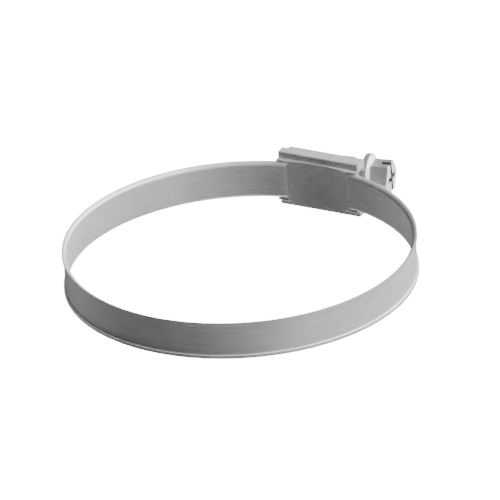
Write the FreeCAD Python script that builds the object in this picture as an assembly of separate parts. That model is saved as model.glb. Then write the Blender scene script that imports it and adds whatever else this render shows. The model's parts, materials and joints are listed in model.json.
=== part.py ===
import FreeCAD
import Part
import math
import os

# Worm-drive band clamp, in millimetres.
# The origin is the middle of the bore, +Z is the bore axis, the saddle stands on +Y,
# and the screw head points to +X.

# Band: one steel strip with both edges turned outwards, bent into a ring.
bore_radius = 39.2
band_width = 9.0
band_thickness = 0.7
lip_height = 1.05
crease_angle = 16.0
leave_station = 8.5
ramp_angle = 40.0
free_bend_radius = 3.5
free_end_station = 8.9
tongue_bend_radius = 3.0
tongue_end_station = -2.2
groove_depth = 0.45
groove_floor_width = 1.0
groove_draft = 20.0
groove_length = 5.0
grooved_length = 63.0

# Saddle: the base that the post bears on, with a channel for the band's two ends.
saddle_length = 20.0
saddle_offset = -0.15
plate_inset = 0.7
plate_width = 10.2
flange_step = 1.13
flange_width = 13.26
flange_depth = 2.31
free_tip_setback = 1.05
tongue_tip_setback = 0.75
edge_break = 0.18
channel_side_clearance = 0.1
strip_clearance = 0.05

# Worm housing: the arched cover that carries the screw.
foot_thickness = 1.16
foot_setback = 1.45
arch_wall = 0.4
arch_start = -6.6
arch_end = 5.4
arch_rounding = 0.5
end_wall = 1.0
neck_boss_radius = 3.55
neck_boss_end = 7.95
worm_clearance = 0.1
journal_clearance = 0.05
tail_headroom = 0.12

# Worm screw: hexagon head with a cross slot, collar, worm and tip journal in one piece.
screw_rise = 6.61
screw_tilt = 10.5
worm_radius = 3.6
worm_depth = 0.9
worm_pitch = 2.5
crest_width = 0.7
flank_angle = 20.0
thread_turns = 2.9
mesh_depth = 0.48
mesh_station = -3.0
neck_radius = 2.6
tip_radius = 1.8
tip_overhang = 0.4
end_play = 0.1
collar_radius = 5.15
collar_thickness = 1.35
collar_edge = 0.12
cone_height = 0.5
hex_across_flats = 7.0
hex_height = 4.2
hex_chamfer = 0.15
slot_width = 1.2
slot_depth = 2.2
cross_slot_length = 4.8

axis_z = FreeCAD.Vector(0, 0, 1)
origin = FreeCAD.Vector(0, 0, 0)
margin = 5.0

half_band = band_width / 2
flare_radius = lip_height / math.cos(math.radians(crease_angle))
channel_half = half_band + channel_side_clearance
leave_angle = math.degrees(math.asin(leave_station / bore_radius))
leave_height = math.sqrt(bore_radius ** 2 - leave_station ** 2)

screw_height = bore_radius + screw_rise
tilt = math.radians(screw_tilt)
crest_line = screw_height + mesh_station * math.tan(tilt) - worm_radius / math.cos(tilt)
free_seat = crest_line + mesh_depth - band_thickness
tongue_seat = free_seat - strip_clearance - band_thickness

saddle_start = saddle_offset - saddle_length / 2
foot_start = saddle_start + foot_setback
plate_face = bore_radius - plate_inset
flange_face = plate_face + flange_step
saddle_top = flange_face + flange_depth
foot_top = saddle_top + foot_thickness
tail_ceiling = free_seat + lip_height + tail_headroom


def box(x0, x1, y0, y1, z0, z1):
    corner = FreeCAD.Vector(x0, y0, z0)
    return Part.makeBox(x1 - x0, y1 - y0, z1 - z0, corner)


def polygon(points):
    corners = [FreeCAD.Vector(*point) for point in points]
    return Part.makePolygon(corners + corners[:1])


def flare_point(radius, height):
    # A point of the flared edge, at a height above the strip's bore face.
    reach = math.sqrt(radius ** 2 - (lip_height - height) ** 2)
    return FreeCAD.Vector(0, height, half_band - flare_radius + reach)


def strip_section(edge_height):
    # The strip's cross-section at the path's start: Y is the outward side, Z the width.
    # Each edge flares out from a crease in an arc that ends square to the strip. An edge
    # higher than the strip's thickness is a lip, and one that is no higher is cut flush.
    arcs = [[flare_point(flare_radius, share * edge_height) for share in (0, 0.5, 1)]]
    if edge_height > band_thickness:
        under = (edge_height, (edge_height + band_thickness) / 2, band_thickness)
        arcs.append([flare_point(flare_radius - band_thickness, height) for height in under])
    for arc in reversed(arcs[:]):
        arcs.append([FreeCAD.Vector(0, point.y, -point.z) for point in reversed(arc)])
    edges = []
    for arc, following in zip(arcs, arcs[1:] + arcs[:1]):
        edges.append(Part.Arc(*arc).toShape())
        edges.append(Part.LineSegment(arc[-1], following[0]).toShape())
    return Part.Face(Part.Wire(edges))


def step_along(place, length, turn):
    # The frame reached from a frame on the strip, after a straight run or a bend.
    if turn == 0:
        return place.multiply(FreeCAD.Placement(FreeCAD.Vector(length, 0, 0), FreeCAD.Rotation()))
    radius = length / math.radians(turn)
    angle = math.radians(turn)
    move = FreeCAD.Vector(radius * math.sin(angle), radius * (1 - math.cos(angle)), 0)
    return place.multiply(FreeCAD.Placement(move, FreeCAD.Rotation(axis_z, turn)))


def sweep_strip(section, place, runs):
    # Each run of the path is a length and the angle that the strip turns through.
    pieces = []
    for length, turn in runs:
        face = section.copy()
        face.Placement = place
        if turn == 0:
            pieces.append(face.extrude(place.Rotation.multVec(FreeCAD.Vector(length, 0, 0))))
        else:
            radius = length / math.radians(turn)
            centre = place.multVec(FreeCAD.Vector(0, radius, 0))
            pieces.append(face.revolve(centre, axis_z, turn))
        place = step_along(place, length, turn)
    return pieces[0].multiFuse(pieces[1:]).removeSplitter()


def end_frame(place, runs):
    for length, turn in runs:
        place = step_along(place, length, turn)
    return place


def frame_at(place, runs, distance):
    passed = 0
    while distance > runs[passed][0]:
        distance -= runs[passed][0]
        passed += 1
    length, turn = runs[passed]
    return step_along(end_frame(place, runs[:passed]), distance, turn * distance / length)


def ramp(seat, bend_radius):
    # The S-bend from the ring to a flat seat: bend up, straight rise, bend back.
    start = math.radians(leave_angle)
    slope = math.radians(ramp_angle)
    bends = bend_radius * (math.cos(start) + 1 - 2 * math.cos(slope))
    straight = (seat - leave_height - bends) / math.sin(slope)
    return [
        (bend_radius * (slope - start), ramp_angle - leave_angle),
        (straight, 0),
        (bend_radius * slope, -ramp_angle),
    ]


def runs_length(runs):
    return sum(length for length, turn in runs)


ring_start = FreeCAD.Placement(
    FreeCAD.Vector(leave_station, leave_height, 0),
    FreeCAD.Rotation(axis_z, -leave_angle),
)
ramp_start = FreeCAD.Placement(
    FreeCAD.Vector(-leave_station, leave_height, 0),
    FreeCAD.Rotation(axis_z, leave_angle),
)
ring_turn = 360 - 2 * leave_angle
ring_run = (bore_radius * math.radians(ring_turn), -ring_turn)
free_ramp = ramp(free_seat, free_bend_radius)
free_seat_start = end_frame(ramp_start, free_ramp).Base.x
free_run = (free_end_station - free_seat_start, 0)
tongue_ramp = ramp(tongue_seat, tongue_bend_radius)
tongue_seat_start = -end_frame(ramp_start, tongue_ramp).Base.x
tongue_run = (tongue_seat_start - tongue_end_station, 0)

# The worm's crest crosses the band here, and the grooves are spaced from it.
mesh_point = mesh_station + worm_pitch / 2
lead_angle = math.degrees(math.atan(worm_pitch / (2 * math.pi * worm_radius)))


def groove_cutter():
    half_floor = groove_floor_width / 2
    low = band_thickness - groove_depth
    high = band_thickness + lip_height
    half_top = half_floor + (high - low) * math.tan(math.radians(groove_draft))
    half_length = groove_length / 2
    outline = polygon([
        (-half_floor, low, -half_length),
        (half_floor, low, -half_length),
        (half_top, high, -half_length),
        (-half_top, high, -half_length),
    ])
    cutter = Part.Face(outline).extrude(FreeCAD.Vector(0, 0, groove_length))
    cutter.rotate(origin, FreeCAD.Vector(0, 1, 0), -lead_angle)
    return cutter


def make_band():
    runs = [ring_run] + free_ramp + [free_run]
    strip = sweep_strip(strip_section(lip_height), ring_start, runs)
    tongue = sweep_strip(strip_section(band_thickness), ramp_start, tongue_ramp + [tongue_run])
    tongue = tongue.mirror(origin, FreeCAD.Vector(1, 0, 0))
    total = runs_length(runs)
    mesh_distance = total - free_end_station + mesh_point
    room_ahead = free_end_station - mesh_point - groove_floor_width
    ahead = int(room_ahead / worm_pitch)
    behind = int(grooved_length / worm_pitch)
    cutters = []
    for index in range(-behind, ahead + 1):
        cutter = groove_cutter()
        cutter.Placement = frame_at(ring_start, runs, mesh_distance + index * worm_pitch).multiply(
            cutter.Placement)
        cutters.append(cutter)
    return strip.cut(Part.makeCompound(cutters)).fuse(tongue).removeSplitter()


def ramp_clearance(runs, clearance, far):
    # The room that a ramp of the strip needs, from under its bore face outwards.
    below = FreeCAD.Vector(0, -clearance, -flange_width / 2)
    place = ramp_start
    points = [place.multVec(below)]
    edges = []
    for length, turn in runs:
        middle = step_along(place, length / 2, turn / 2).multVec(below)
        place = step_along(place, length, turn)
        points.append(place.multVec(below))
        curve = Part.Arc(points[-2], middle, points[-1]) if turn else Part.LineSegment(*points[-2:])
        edges.append(curve.toShape())
    top = [FreeCAD.Vector(point.x, far, point.z) for point in (points[-1], points[0])]
    for start, end in ((points[-1], top[0]), top, (top[1], points[0])):
        edges.append(Part.LineSegment(start, end).toShape())
    return Part.Face(Part.Wire(edges)).extrude(FreeCAD.Vector(0, 0, flange_width))


def make_saddle():
    half_plate = plate_width / 2
    half_flange = flange_width / 2
    half = [
        (plate_face, half_plate - edge_break),
        (plate_face + edge_break, half_plate),
        (flange_face, half_plate),
        (flange_face, half_flange - edge_break),
        (flange_face + edge_break, half_flange),
        (saddle_top, half_flange),
    ]
    profile = half + [(height, -width) for height, width in reversed(half)]
    outline = polygon([(saddle_start, height, width) for height, width in profile])
    base = Part.Face(outline).extrude(FreeCAD.Vector(saddle_length, 0, 0))
    far = bore_radius + screw_rise
    channel = box(-saddle_length, saddle_length, 0, far, -channel_half, channel_half)
    floor_start = free_tip_setback - leave_station
    floor_end = leave_station - tongue_tip_setback
    floor = box(floor_start, floor_end, leave_height, tongue_seat, -channel_half, channel_half)
    bore = Part.makeCylinder(bore_radius, flange_width, FreeCAD.Vector(0, 0, -half_flange))
    free_way = ramp_clearance(free_ramp, strip_clearance, far)
    tongue_way = ramp_clearance(tongue_ramp, 0, far).mirror(origin, FreeCAD.Vector(1, 0, 0))
    floor = floor.cut(free_way).cut(tongue_way)
    return base.cut(channel).fuse(floor).cut(bore).removeSplitter()


def on_screw_axis(shape):
    # Places a shape that was made along +X from the origin onto the tilted screw axis.
    shape.Placement = FreeCAD.Placement(
        FreeCAD.Vector(0, screw_height, 0),
        FreeCAD.Rotation(axis_z, screw_tilt),
    ).multiply(shape.Placement)
    return shape


def arch_solid(radius, start, end):
    along = FreeCAD.Vector(1, 0, 0)
    round_top = Part.makeCylinder(radius, end - start, FreeCAD.Vector(start, 0, 0), along)
    sides = box(start, end, -screw_rise, 0, -radius, radius)
    return round_top.fuse(sides).removeSplitter()


def rounded_arch(radius, start, end):
    arch = arch_solid(radius, start, end)
    rims = []
    for edge in arch.Edges:
        middle = edge.BoundBox.Center
        across = edge.BoundBox.XLength < edge_break
        if across and middle.y > -screw_rise / 2 - edge_break:
            rims.append(edge)
    return arch.makeFillet(arch_rounding, rims)


arch_inner = worm_radius + worm_clearance
arch_outer = arch_inner + arch_wall


def make_worm_housing():
    along = FreeCAD.Vector(1, 0, 0)
    shell = rounded_arch(arch_outer, arch_start, arch_end)
    hollow = arch_solid(arch_inner, arch_start + end_wall, arch_end - end_wall)
    boss = Part.makeCylinder(neck_boss_radius, neck_boss_end, origin, along)
    neck_hole = Part.makeCylinder(neck_radius + journal_clearance, neck_boss_end, origin, along)
    tip_hole = Part.makeCylinder(
        tip_radius + journal_clearance, -arch_start, FreeCAD.Vector(arch_start, 0, 0), along)
    arch = shell.fuse(boss).cut(hollow).cut(neck_hole).cut(tip_hole)
    arch = on_screw_axis(arch)
    half_flange = flange_width / 2
    below = box(-saddle_length, saddle_length, 0, saddle_top, -half_flange, half_flange)
    tail_way = box(-saddle_length, saddle_length, 0, tail_ceiling, -channel_half, channel_half)
    foot = Part.Face(polygon([
        (foot_start, saddle_top, arch_inner),
        (foot_start, saddle_top, half_flange),
        (foot_start, foot_top - edge_break, half_flange),
        (foot_start, foot_top, half_flange - edge_break),
        (foot_start, foot_top, arch_inner),
    ])).extrude(FreeCAD.Vector(saddle_length - foot_setback, 0, 0))
    other_foot = foot.mirror(origin, axis_z)
    return arch.cut(below).multiFuse([foot, other_foot]).cut(tail_way).removeSplitter()


def make_worm_thread():
    root = worm_radius - worm_depth
    sunk = worm_depth / 4
    half_crest = crest_width / 2
    half_root = half_crest + (worm_depth + sunk) * math.tan(math.radians(flank_angle))
    height = worm_pitch * thread_turns
    helix = Part.makeHelix(worm_pitch, height, root)
    section = polygon([
        (root - sunk, 0, -half_root),
        (worm_radius, 0, -half_crest),
        (worm_radius, 0, half_crest),
        (root - sunk, 0, half_root),
    ])
    thread = Part.Wire(helix).makePipeShell([section], True, True)
    thread.rotate(origin, FreeCAD.Vector(0, 1, 0), 90)
    # A quarter turn short of a full one, the thread comes round to the band's side.
    crest_station = (mesh_point - worm_radius * math.sin(tilt)) / math.cos(tilt)
    first = crest_station - 0.75 * worm_pitch
    middle = (arch_start + arch_end) / 2
    turns_before = round((first + height / 2 - middle) / worm_pitch)
    thread.translate(FreeCAD.Vector(first - turns_before * worm_pitch, 0, 0))
    return thread


def make_worm_screw():
    root = worm_radius - worm_depth
    tip_end = arch_start - tip_overhang
    core_start = arch_start + end_wall + end_play
    core_end = arch_end - end_wall - end_play
    collar_back = neck_boss_end + end_play
    collar_front = collar_back + collar_thickness
    head_base = collar_front + cone_height
    head_end = head_base + hex_height
    hex_corner = hex_across_flats / math.sqrt(3)
    turned = polygon([
        (tip_end, 0, 0),
        (tip_end, tip_radius, 0),
        (core_start, tip_radius, 0),
        (core_start, root, 0),
        (core_end, root, 0),
        (core_end, neck_radius, 0),
        (collar_back, neck_radius, 0),
        (collar_back, collar_radius - collar_edge, 0),
        (collar_back + collar_edge, collar_radius, 0),
        (collar_front - collar_edge, collar_radius, 0),
        (collar_front, collar_radius - collar_edge, 0),
        (head_base, hex_across_flats / 2, 0),
        (head_base, 0, 0),
    ])
    along = FreeCAD.Vector(1, 0, 0)
    shaft = Part.Face(turned).revolve(origin, -along, 360)
    corners = []
    for index in range(6):
        angle = math.radians(90 + 60 * index)
        corners.append((collar_front, hex_corner * math.sin(angle), hex_corner * math.cos(angle)))
    head = Part.Face(polygon(corners)).extrude(along * (head_end - collar_front))
    rim = hex_corner - hex_chamfer
    blank = Part.makeCone(
        rim + head_end - collar_front, rim, head_end - collar_front,
        FreeCAD.Vector(collar_front, 0, 0), along)
    head = head.common(blank)
    half_slot = slot_width / 2
    half_cross = cross_slot_length / 2
    reach = 2 * hex_corner
    slots = [
        box(head_end - slot_depth, head_end + margin, -half_slot, half_slot, -reach, reach),
        box(head_end - slot_depth, head_end + margin, -half_cross, half_cross, -half_slot, half_slot),
    ]
    screw = shaft.fuse(head).cut(Part.makeCompound(slots)).removeSplitter()
    return on_screw_axis(screw.fuse(make_worm_thread()))


os.makedirs("parts", exist_ok=True)
make_band().exportStep("parts/band.step")
make_saddle().exportStep("parts/saddle.step")
make_worm_housing().exportStep("parts/worm_housing.step")
make_worm_screw().exportStep("parts/worm_screw.step")
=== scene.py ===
import json
import math

import bpy
from mathutils import Matrix, Vector


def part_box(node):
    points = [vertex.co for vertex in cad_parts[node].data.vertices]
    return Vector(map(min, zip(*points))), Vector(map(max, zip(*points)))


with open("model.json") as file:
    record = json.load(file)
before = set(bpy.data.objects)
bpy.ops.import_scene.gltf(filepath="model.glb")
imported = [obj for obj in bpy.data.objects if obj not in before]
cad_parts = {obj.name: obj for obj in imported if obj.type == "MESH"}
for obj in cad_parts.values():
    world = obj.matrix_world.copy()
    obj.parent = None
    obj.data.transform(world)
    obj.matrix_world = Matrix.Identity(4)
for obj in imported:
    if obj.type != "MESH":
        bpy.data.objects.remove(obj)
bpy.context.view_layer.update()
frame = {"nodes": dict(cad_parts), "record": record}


# Band: one cold-rolled steel strip, bent into a ring with both edges turned outwards.
# It is left bare, with the fine lengthwise brushing of the rolls and a faint cloudiness.
class Signal:
    """A shader socket. Arithmetic on it adds the Math nodes that work it out."""

    def __init__(self, tree, socket):
        self.tree = tree
        self.socket = socket

    def node(self, kind, output, settings, inputs):
        made = self.tree.nodes.new(kind)
        for name, value in settings.items():
            setattr(made, name, value)
        for key, value in inputs.items():
            if isinstance(value, Signal):
                self.tree.links.new(value.socket, made.inputs[key])
            else:
                made.inputs[key].default_value = value
        return Signal(self.tree, made.outputs[output])

    def math(self, operation, first, second=0.0):
        return self.node("ShaderNodeMath", 0, {"operation": operation}, {0: first, 1: second})

    def __add__(self, other):
        return self.math("ADD", self, other)

    def __radd__(self, other):
        return self.math("ADD", other, self)

    def __sub__(self, other):
        return self.math("SUBTRACT", self, other)

    def __rsub__(self, other):
        return self.math("SUBTRACT", other, self)

    def __mul__(self, other):
        return self.math("MULTIPLY", self, other)

    def __rmul__(self, other):
        return self.math("MULTIPLY", other, self)

    def __truediv__(self, other):
        return self.math("DIVIDE", self, other)

    def __rtruediv__(self, other):
        return self.math("DIVIDE", other, self)

    def __pow__(self, other):
        return self.math("POWER", self, other)

    def __rpow__(self, other):
        return self.math("POWER", other, self)

    def size(self):
        return self.math("ABSOLUTE", self)

    def under(self, limit):
        return self.math("LESS_THAN", self, limit)

    def smooth(self, low, high):
        return self.node(
            "ShaderNodeMapRange", 0, {"interpolation_type": "SMOOTHSTEP"},
            {"Value": self, "From Min": low, "From Max": high})

    def axes(self):
        return [self.node("ShaderNodeSeparateXYZ", axis, {}, {0: self}) for axis in "XYZ"]

    def joined(self, x, y, z):
        return self.node("ShaderNodeCombineXYZ", 0, {}, {"X": x, "Y": y, "Z": z})

    def noise(self, detail, rough):
        return self.node(
            "ShaderNodeTexNoise", 0, {},
            {"Vector": self, "Scale": 1.0, "Detail": detail, "Roughness": rough})

    def cloud(self):
        scaled = self.node("ShaderNodeVectorMath", 0, {"operation": "SCALE"}, {0: self, 3: 1 / CLOUD_SIZE})
        return scaled.noise(detail=3.0, rough=0.55)

    def blend(self, low, high):
        # A Mix node's factor is its socket 0, and its two colours are sockets 6 and 7.
        return self.node("ShaderNodeMix", 2, {"data_type": "RGBA"}, {0: self, 6: low, 7: high})


def start_finish(name, metallic):
    """A new steel material, its shader and the place on the piece that patterns are read from."""
    material = bpy.data.materials.new(name)
    material.use_nodes = True
    tree = material.node_tree
    shader = tree.nodes["Principled BSDF"]
    shader.inputs["Metallic"].default_value = metallic
    coordinates = tree.nodes.new("ShaderNodeTexCoord")
    return material, shader, Signal(tree, coordinates.outputs["Object"])


def feed(shader, name, signal):
    signal.tree.links.new(signal.socket, shader.inputs[name])


def feed_bump(shader, height, strength):
    inputs = {"Height": height, "Distance": GRAIN_DEPTH, "Strength": strength}
    feed(shader, "Normal", height.node("ShaderNodeBump", "Normal", {}, inputs))


def dress(node, material):
    mesh = frame["nodes"][node].data
    mesh.materials.clear()
    mesh.materials.append(material)


BAND_DARK = (0.350, 0.351, 0.354, 1.0)
BAND_LIGHT = (0.450, 0.451, 0.453, 1.0)
BAND_METALLIC = 0.50
BAND_ROUGHNESS = 0.42
BRUSH_LINE = 0.00011
BRUSH_TURNS = 14.0
WIDE_LINE = 6 * BRUSH_LINE
WIDE_TURNS = BRUSH_TURNS / 3
LINE_SHARE = 0.5
WIDE_SHARE = 0.3
CLOUD_SHARE = 0.2
CLOUD_SIZE = 0.007
TONE_LOW = 0.32
TONE_HIGH = 0.68
GRAIN_DULLING = 0.12
CLOUD_DULLING = 0.06
GRAIN_DEPTH = 0.00001
BRUSH_STRENGTH = 0.35

band_finish, shader, place = start_finish("band_steel", BAND_METALLIC)
x, y, z = place.axes()
radius = (x * x + y * y) ** 0.5
round_x = x / radius
round_y = y / radius
fine_place = place.joined(round_x * BRUSH_TURNS, round_y * BRUSH_TURNS, z / BRUSH_LINE + radius / BRUSH_LINE)
wide_place = place.joined(round_x * WIDE_TURNS, round_y * WIDE_TURNS, z / WIDE_LINE)
lines = fine_place.noise(detail=3.0, rough=0.6)
wide_lines = wide_place.noise(detail=2.0, rough=0.5)
cloud = place.cloud()
tone = (LINE_SHARE * lines + WIDE_SHARE * wide_lines + CLOUD_SHARE * cloud).smooth(TONE_LOW, TONE_HIGH)
feed(shader, "Base Color", tone.blend(BAND_DARK, BAND_LIGHT))
feed(shader, "Roughness", BAND_ROUGHNESS + GRAIN_DULLING * lines + CLOUD_DULLING * cloud)
feed_bump(shader, lines, BRUSH_STRENGTH)
dress("band", band_finish)


# Saddle and worm housing: two steel pressings, welded together along the housing's feet.
# Both have a plain satin finish with a fine grain along the strip that they were cut from.
# The saddle's channel, where the band's ends lie, is painted dark: painted shade in the gap there.
PRESSED_DARK = (0.345, 0.346, 0.350, 1.0)
PRESSED_LIGHT = (0.440, 0.441, 0.444, 1.0)
CHANNEL_PAINTED_SHADE = (0.180, 0.181, 0.183, 1.0)
PRESSED_METALLIC = 0.50
PRESSED_ROUGHNESS = 0.42
PRESSED_CLOUD_DULLING = 0.08
GRAIN_LENGTH = 0.0016
GRAIN_WIDTH = 0.00018
GRAIN_SHARE = 0.6
GRAIN_STRENGTH = 0.3
CHANNEL_START = 0.00006
CHANNEL_HEIGHT = 0.0023
CHANNEL_EDGE = 0.0002
MILLIMETRE = 0.001

mounts = {mount["name"]: mount for mount in frame["record"]["mounts"]}
post_bore = mounts["post_bore"]["dims"]
bore_radius = post_bore["r_mm"] * MILLIMETRE
half_plate = post_bore["length_mm"] * MILLIMETRE / 2

pressed_finish, shader, place = start_finish("pressed_steel", PRESSED_METALLIC)
x, y, z = place.axes()
radius = (x * x + y * y) ** 0.5
grain_place = place.joined(x / GRAIN_LENGTH, y / GRAIN_WIDTH, z / GRAIN_WIDTH)
grain = grain_place.noise(detail=3.0, rough=0.6)
cloud = place.cloud()
tone = (GRAIN_SHARE * grain + (1 - GRAIN_SHARE) * cloud).smooth(TONE_LOW, TONE_HIGH)
# Painted shade: the channel where the band's ends lie is coloured dark.
above_bore = 1 - radius.under(bore_radius + CHANNEL_START)
below_housing = radius.under(bore_radius + CHANNEL_HEIGHT)
between_sides = z.size().under(half_plate - CHANNEL_EDGE)
channel_shade = above_bore * below_housing * between_sides
feed(shader, "Base Color", channel_shade.blend(tone.blend(PRESSED_DARK, PRESSED_LIGHT), CHANNEL_PAINTED_SHADE))
feed(shader, "Roughness", PRESSED_ROUGHNESS + GRAIN_DULLING * grain + PRESSED_CLOUD_DULLING * cloud)
feed_bump(shader, grain, GRAIN_STRENGTH)
dress("saddle", pressed_finish)
dress("worm_housing", pressed_finish)


# Worm screw: turned from steel bar in one piece and zinc plated. The tool leaves fine rings
# round the screw's own axis, which leans out to the head. The end and the collar's cone carry a
# painted highlight, a far lighter copy of the zinc; the rest is duller, and the cross slot is
# painted dark inside as painted shade.
ZINC_DARK = (0.170, 0.171, 0.174, 1.0)
ZINC_LIGHT = (0.225, 0.226, 0.229, 1.0)
HIGHLIGHT_DARK = (0.710, 0.712, 0.716, 1.0)
HIGHLIGHT_LIGHT = (0.800, 0.802, 0.806, 1.0)
SLOT_PAINTED_SHADE = (0.110, 0.111, 0.113, 1.0)
ZINC_METALLIC = 0.55
ZINC_ROUGHNESS = 0.40
TURNING_LINE = 0.00012
RING_SHARE = 0.6
RING_STRENGTH = 0.3
SLOT_WIDTH = 0.0012
SLOT_DEPTH = 0.0022
CROSS_LENGTH = 0.0048
END_HIGHLIGHT_DEPTH = 0.0002
HEX_HEIGHT = 0.0042
CONE_HEIGHT = 0.0005
MARGIN = 0.00002

screw_joint = frame["record"]["behaviour"]["joints"][0]
screw_axis = -Vector(screw_joint["axis"])
screw_middle = Vector(screw_joint["pos_m"])
screw_lean = math.atan2(screw_axis.y, screw_axis.x)
head_end = (Vector(mounts["drive_hex"]["pos_m"]) - screw_middle).dot(screw_axis)

screw_finish, shader, place = start_finish("zinc_plated_steel", ZINC_METALLIC)
on_axis = place.node(
    "ShaderNodeMapping", 0, {"vector_type": "TEXTURE"},
    {"Vector": place, "Location": screw_middle, "Rotation": (0.0, 0.0, screw_lean)})
along, out, side = on_axis.axes()
reach = (out * out + side * side) ** 0.5
ring_place = place.joined(along / TURNING_LINE, reach / TURNING_LINE, 0.0)
rings = ring_place.noise(detail=2.0, rough=0.6)
cloud = place.cloud()
tone = (RING_SHARE * rings + (1 - RING_SHARE) * cloud).smooth(TONE_LOW, TONE_HIGH)
# Painted highlight: the end and the collar's cone take a far lighter copy of the zinc.
from_end = head_end - along
on_cone = (1 - from_end.under(HEX_HEIGHT)) * from_end.under(HEX_HEIGHT + CONE_HEIGHT + MARGIN)
painted_highlight = from_end.under(END_HIGHLIGHT_DEPTH) + on_cone
# Painted shade: the cross slot is coloured dark inside.
half_slot = SLOT_WIDTH / 2 + MARGIN
half_cross = CROSS_LENGTH / 2 + MARGIN
in_cross = side.size().under(half_slot) * out.size().under(half_cross)
in_depth = (1 - from_end.under(MARGIN)) * from_end.under(SLOT_DEPTH + MARGIN)
slot_shade = (out.size().under(half_slot) + in_cross) * in_depth
zinc = painted_highlight.blend(tone.blend(ZINC_DARK, ZINC_LIGHT), tone.blend(HIGHLIGHT_DARK, HIGHLIGHT_LIGHT))
feed(shader, "Base Color", slot_shade.blend(zinc, SLOT_PAINTED_SHADE))
feed(shader, "Roughness", ZINC_ROUGHNESS + GRAIN_DULLING * rings + CLOUD_DULLING * cloud)
feed_bump(shader, rings, RING_STRENGTH)
dress("worm_screw", screw_finish)


# Floor: a plain white paper sheet, lit through from below. The clamp lies on its saddle's side
# and on the far edge of its ring, so the sheet is laid through those two lines.
# It adds no light or shadow to the clamp, and lets the light from below through.
FLOOR_SIZE = 6.0
FLOOR_COLOR = (0.80, 0.80, 0.80, 1.0)
FLOOR_ROUGHNESS = 0.9
FLOOR_GLOW = 15.0
WHITE = (1.0, 1.0, 1.0, 1.0)

saddle_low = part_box("saddle")[0]
band_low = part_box("band")[0]
housing_edge = Vector((0.0, saddle_low[1], saddle_low[2]))
ring_edge = Vector((0.0, band_low[1], band_low[2]))
rise = housing_edge - ring_edge

bpy.ops.object.select_all(action="DESELECT")
bpy.ops.mesh.primitive_plane_add(size=FLOOR_SIZE, location=(housing_edge + ring_edge) / 2)
floor = bpy.context.active_object
floor.name = "floor"
floor.rotation_euler.x = math.atan2(rise.z, rise.y)
floor.visible_diffuse = False
floor.visible_glossy = False
floor.visible_shadow = False
floor_paper = bpy.data.materials.new("floor_paper")
floor_paper.use_nodes = True
paper_shader = floor_paper.node_tree.nodes["Principled BSDF"]
paper_shader.inputs["Base Color"].default_value = FLOOR_COLOR
paper_shader.inputs["Roughness"].default_value = FLOOR_ROUGHNESS
paper_shader.inputs["Emission Color"].default_value = WHITE
paper_shader.inputs["Emission Strength"].default_value = FLOOR_GLOW
floor.data.materials.append(floor_paper)


# Studio light: the main soft boxes hang high on the head's side. Two thirds of their light
# casts no shadow, so the ledge and the lower lip stay light. Weaker ones stand behind, low
# beside the head and under the ring. The room is dim, with a soft fill from below on the left.
TOP_PLACE = (0.722, 0.241, 0.927)
TOP_SIZE = 0.37
ROOM_GLOW = 0.105
FILL_GLOW = 1.4
FILL_FROM = (-0.597, 0.100, -0.796)
FILL_EDGE = 0.78
FILL_CORE = 0.95


def softbox(name, position, size, power, shadows=True):
    bpy.ops.object.select_all(action="DESELECT")
    bpy.ops.object.light_add(type="AREA", location=position)
    lamp = bpy.context.active_object
    lamp.name = name
    lamp.rotation_euler = (-Vector(position)).to_track_quat("-Z", "Y").to_euler()
    lamp.data.shape = "SQUARE"
    lamp.data.size = size
    lamp.data.energy = power
    lamp.data.use_shadow = shadows


softbox("top_softbox", TOP_PLACE, TOP_SIZE, power=15.0)
softbox("open_softbox", TOP_PLACE, TOP_SIZE, power=30.0, shadows=False)
softbox("back_softbox", (0.608, 0.913, 0.487), size=0.81, power=39.4)
softbox("low_softbox", (1.132, -0.377, 0.126), size=0.67, power=12.5)
softbox("under_softbox", (0.0, 0.0, -1.2), size=0.75, power=17.7)

room = bpy.data.worlds.new("studio_room")
room.use_nodes = True
room_tree = room.node_tree
outward = Signal(room_tree, room_tree.nodes.new("ShaderNodeTexCoord").outputs["Generated"])
toward_fill = outward.node(
    "ShaderNodeVectorMath", "Value", {"operation": "DOT_PRODUCT"}, {0: outward, 1: FILL_FROM})
dim_room = ROOM_GLOW + FILL_GLOW * toward_fill.smooth(FILL_EDGE, FILL_CORE)
in_view = outward.node("ShaderNodeLightPath", "Is Camera Ray", {}, {})
room_light = in_view * FLOOR_GLOW + (1 - in_view) * dim_room
backdrop = room_tree.nodes["Background"]
backdrop.inputs["Color"].default_value = WHITE
feed(backdrop, "Strength", room_light)
bpy.context.scene.world = room


# Camera: looks down on the ring from the front, a little to the head's side of the saddle.
# It has no perspective, and the picture leans a few degrees.
AZIMUTH = math.radians(28.56)
ELEVATION = math.radians(26.99)
ROLL = math.radians(-3.78)
PICTURE_WIDTH = 0.1129
AIM_RIGHT = 0.002156
AIM_UP = 0.002210
STAND_OFF = 1.0
NEAR_LIMIT = 0.01

right = Vector((math.cos(AZIMUTH), math.sin(AZIMUTH), 0.0))
back = Vector((
    math.sin(AZIMUTH) * math.cos(ELEVATION),
    -math.cos(AZIMUTH) * math.cos(ELEVATION),
    math.sin(ELEVATION),
))
up = back.cross(right)
picture_right = math.cos(ROLL) * right + math.sin(ROLL) * up
picture_up = -math.sin(ROLL) * right + math.cos(ROLL) * up
aim = AIM_RIGHT * picture_right + AIM_UP * picture_up

camera_data = bpy.data.cameras.new("camera")
camera_data.type = "ORTHO"
camera_data.ortho_scale = PICTURE_WIDTH
camera_data.clip_start = NEAR_LIMIT
camera = bpy.data.objects.new("camera", camera_data)
bpy.context.scene.collection.objects.link(camera)
camera.matrix_world = Matrix.Translation(aim + STAND_OFF * back) @ Matrix(
    (picture_right, picture_up, back)).transposed().to_4x4()
bpy.context.scene.camera = camera
